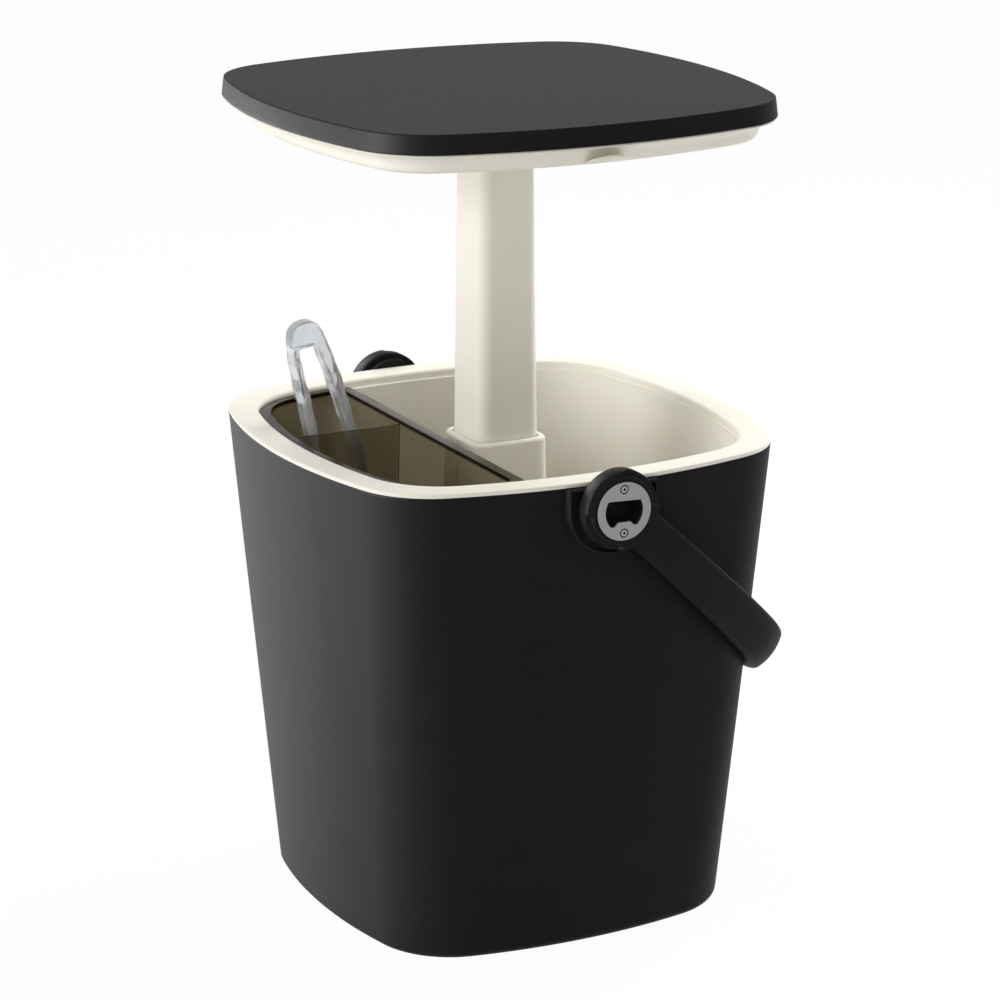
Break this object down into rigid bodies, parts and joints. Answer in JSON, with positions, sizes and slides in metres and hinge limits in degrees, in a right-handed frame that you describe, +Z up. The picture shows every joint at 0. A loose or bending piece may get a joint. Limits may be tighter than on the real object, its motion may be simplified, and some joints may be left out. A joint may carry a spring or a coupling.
{
  "type": "cooler bar table",
  "caption": "Insulated tapered drinks tub with a lid that rises on a telescoping column as a small table, a swinging carry handle with bottle opener, a smoked caddy and clear ice tongs.",
  "frame": {"origin": "on the floor under the middle of the tub, in the face it stands on", "axes": "+Z up along the column, -Y towards the bottle opener (front), -X towards the caddy, +X towards the hanging handle"},
  "size_m": [0.3532, 0.378, 0.581],
  "materials": {
    "dark_plastic": "satin",
    "cream_plastic": "satin",
    "guide_plastic": "satin",
    "smoked_plastic": "gloss",
    "clear_plastic": "gloss",
    "brushed_steel": "satin",
    "screw_steel": "satin",
    "foam": "matte",
    "rubber": "matte"
  },
  "bodies": {
    "tub": {"base_pad": "rubber", "outer_shell": "dark_plastic", "insulation": "foam", "inner_liner": "cream_plastic", "column_sleeve": "cream_plastic", "sleeve_guide": "guide_plastic", "sleeve_screws": "screw_steel", "sleeve_nut_plate": "screw_steel", "pivot_bracket_front": "dark_plastic", "pivot_bracket_back": "dark_plastic", "bracket_screws": "screw_steel", "washer_front": "guide_plastic", "washer_back": "guide_plastic", "opener_plate": "brushed_steel", "opener_screws": "screw_steel", "hub_cap": "dark_plastic", "hub_cap_screws": "screw_steel", "caddy": "smoked_plastic"},
    "table": {"table_top": "dark_plastic", "lid_core": "foam", "lid_tray": "cream_plastic", "tray_screws": "screw_steel", "column_tube": "cream_plastic", "column_head": "cream_plastic", "head_screws": "screw_steel", "column_shoe": "guide_plastic", "shoe_pins": "screw_steel"},
    "handle": {"handle_bail": "dark_plastic"},
    "tongs": {"tongs": "clear_plastic"}
  },
  "joints": [
    {"name": "table_lift", "type": "slide", "parent": "tub", "child": "table", "axis": [0, 0, 1], "range_m": [-0.2087, 0]},
    {"name": "handle_swing", "type": "hinge", "parent": "tub", "child": "handle", "pos_m": [0, 0, 0.326], "axis": [0, -1, 0], "range_deg": [0, 108]},
    {"name": "tongs_tip", "type": "hinge", "parent": "tub", "child": "tongs", "pos_m": [-0.095, 0.052, 0.3375], "axis": [1, 0, 0], "range_deg": [0, 90]}
  ],
  "couplings": [
    {"joint": "tongs_tip", "follows": "table_lift", "rad_per_m": -7.52}
  ]
}
